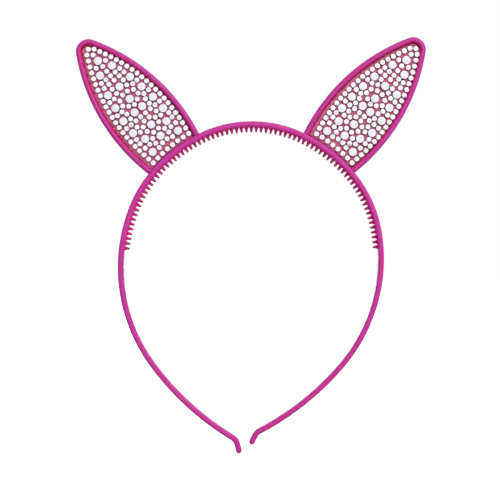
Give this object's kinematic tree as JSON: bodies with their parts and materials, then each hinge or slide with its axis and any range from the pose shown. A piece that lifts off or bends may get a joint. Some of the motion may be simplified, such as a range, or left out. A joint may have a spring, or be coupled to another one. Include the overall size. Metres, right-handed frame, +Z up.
{
  "type": "animal ears headband",
  "caption": "Springy toothed plastic headband with two upright rabbit ears, each a shallow tray holding a sheet set with faceted stones.",
  "frame": {"origin": "centre of the crown's arc, which lies over the wearer's head", "axes": "+Z up towards the ears, +X to the right as seen from the front, front faces -Y"},
  "size_m": [0.1574, 0.005, 0.1866],
  "materials": {
    "magenta_plastic": "glossy moulded plastic",
    "adhesive": "set adhesive film",
    "pink_sheet": "matt pink backing sheet",
    "small_stone": "clear faceted stone on silver foil",
    "large_stone": "faceted stone with a faint pearl coat on silver foil"
  },
  "bodies": {
    "root": {"band": "magenta_plastic", "left_ear_frame": "magenta_plastic", "right_ear_frame": "magenta_plastic", "left_glue_film": "adhesive", "right_glue_film": "adhesive", "left_sheet": "pink_sheet", "right_sheet": "pink_sheet", "left_edge_stones": "small_stone", "right_edge_stones": "small_stone", "left_fill_stones": "small_stone", "right_fill_stones": "small_stone", "left_large_stones": "large_stone", "right_large_stones": "large_stone"}
  },
  "joints": []
}
